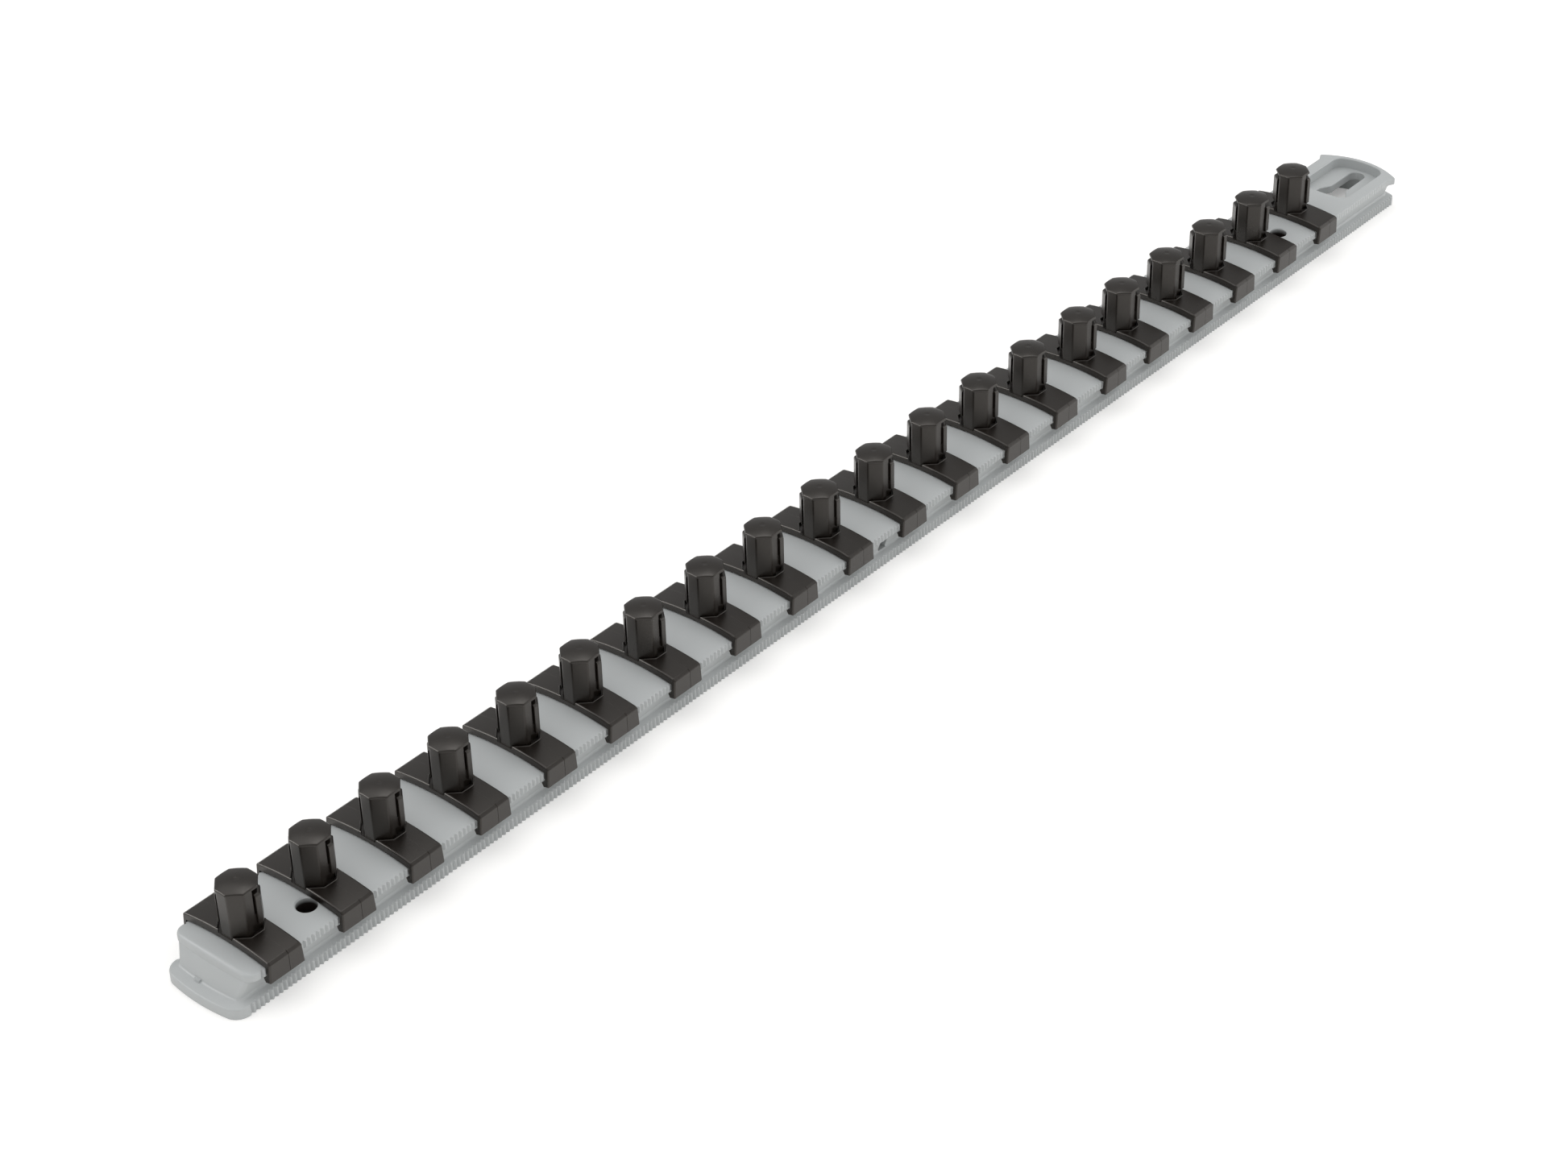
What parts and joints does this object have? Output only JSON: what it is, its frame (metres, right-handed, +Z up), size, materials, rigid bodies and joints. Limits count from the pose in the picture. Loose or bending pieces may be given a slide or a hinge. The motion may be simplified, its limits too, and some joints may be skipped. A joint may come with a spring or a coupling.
{
  "type": "socket rail",
  "caption": "Moulded plastic socket rail with sliding clips, each with an octagonal post and sprung arms that hold a socket, and a keyhole end to hang it by.",
  "frame": {"origin": "middle of the rail's underside, where it lies on a bench", "axes": "+X along the rail towards its hanging end with the keyhole, +Y across it, +Z up through the posts"},
  "size_m": [0.455, 0.0266, 0.0243],
  "materials": {
    "rail_plastic": "light grey moulded plastic with a soft satin sheen",
    "clip_plastic": "charcoal moulded plastic with a satin sheen"
  },
  "bodies": {
    "rail": {"rail": "rail_plastic"},
    "clip_01": {"clip_01": "clip_plastic"},
    "clip_02": {"clip_02": "clip_plastic"},
    "clip_03": {"clip_03": "clip_plastic"},
    "clip_04": {"clip_04": "clip_plastic"},
    "clip_05": {"clip_05": "clip_plastic"},
    "clip_06": {"clip_06": "clip_plastic"},
    "clip_07": {"clip_07": "clip_plastic"},
    "clip_08": {"clip_08": "clip_plastic"},
    "clip_09": {"clip_09": "clip_plastic"},
    "clip_10": {"clip_10": "clip_plastic"},
    "clip_11": {"clip_11": "clip_plastic"},
    "clip_12": {"clip_12": "clip_plastic"},
    "clip_13": {"clip_13": "clip_plastic"},
    "clip_14": {"clip_14": "clip_plastic"},
    "clip_15": {"clip_15": "clip_plastic"},
    "clip_16": {"clip_16": "clip_plastic"},
    "clip_17": {"clip_17": "clip_plastic"},
    "clip_18": {"clip_18": "clip_plastic"},
    "clip_19": {"clip_19": "clip_plastic"},
    "clip_20": {"clip_20": "clip_plastic"}
  },
  "joints": [
    {"name": "clip_01_slide", "type": "slide", "parent": "rail", "child": "clip_01", "axis": [1, 0, 0], "range_m": [-0.00418, 0.00521]},
    {"name": "clip_02_slide", "type": "slide", "parent": "rail", "child": "clip_02", "axis": [1, 0, 0], "range_m": [-0.00521, 0.00505]},
    {"name": "clip_03_slide", "type": "slide", "parent": "rail", "child": "clip_03", "axis": [1, 0, 0], "range_m": [-0.00505, 0.00528]},
    {"name": "clip_04_slide", "type": "slide", "parent": "rail", "child": "clip_04", "axis": [1, 0, 0], "range_m": [-0.00528, 0.00554]},
    {"name": "clip_05_slide", "type": "slide", "parent": "rail", "child": "clip_05", "axis": [1, 0, 0], "range_m": [-0.00554, 0.00523]},
    {"name": "clip_06_slide", "type": "slide", "parent": "rail", "child": "clip_06", "axis": [1, 0, 0], "range_m": [-0.00523, 0.00571]},
    {"name": "clip_07_slide", "type": "slide", "parent": "rail", "child": "clip_07", "axis": [1, 0, 0], "range_m": [-0.00571, 0.00563]},
    {"name": "clip_08_slide", "type": "slide", "parent": "rail", "child": "clip_08", "axis": [1, 0, 0], "range_m": [-0.00563, 0.00542]},
    {"name": "clip_09_slide", "type": "slide", "parent": "rail", "child": "clip_09", "axis": [1, 0, 0], "range_m": [-0.00542, 0.00558]},
    {"name": "clip_10_slide", "type": "slide", "parent": "rail", "child": "clip_10", "axis": [1, 0, 0], "range_m": [-0.00558, 0.00547]},
    {"name": "clip_11_slide", "type": "slide", "parent": "rail", "child": "clip_11", "axis": [1, 0, 0], "range_m": [-0.00547, 0.00558]},
    {"name": "clip_12_slide", "type": "slide", "parent": "rail", "child": "clip_12", "axis": [1, 0, 0], "range_m": [-0.00558, 0.00571]},
    {"name": "clip_13_slide", "type": "slide", "parent": "rail", "child": "clip_13", "axis": [1, 0, 0], "range_m": [-0.00571, 0.00547]},
    {"name": "clip_14_slide", "type": "slide", "parent": "rail", "child": "clip_14", "axis": [1, 0, 0], "range_m": [-0.00547, 0.006]},
    {"name": "clip_15_slide", "type": "slide", "parent": "rail", "child": "clip_15", "axis": [1, 0, 0], "range_m": [-0.006, 0.0049]},
    {"name": "clip_16_slide", "type": "slide", "parent": "rail", "child": "clip_16", "axis": [1, 0, 0], "range_m": [-0.0049, 0.00549]},
    {"name": "clip_17_slide", "type": "slide", "parent": "rail", "child": "clip_17", "axis": [1, 0, 0], "range_m": [-0.00549, 0.00518]},
    {"name": "clip_18_slide", "type": "slide", "parent": "rail", "child": "clip_18", "axis": [1, 0, 0], "range_m": [-0.00518, 0.00566]},
    {"name": "clip_19_slide", "type": "slide", "parent": "rail", "child": "clip_19", "axis": [1, 0, 0], "range_m": [-0.00566, 0.00549]},
    {"name": "clip_20_slide", "type": "slide", "parent": "rail", "child": "clip_20", "axis": [1, 0, 0], "range_m": [-0.00549, 0.03064]}
  ]
}
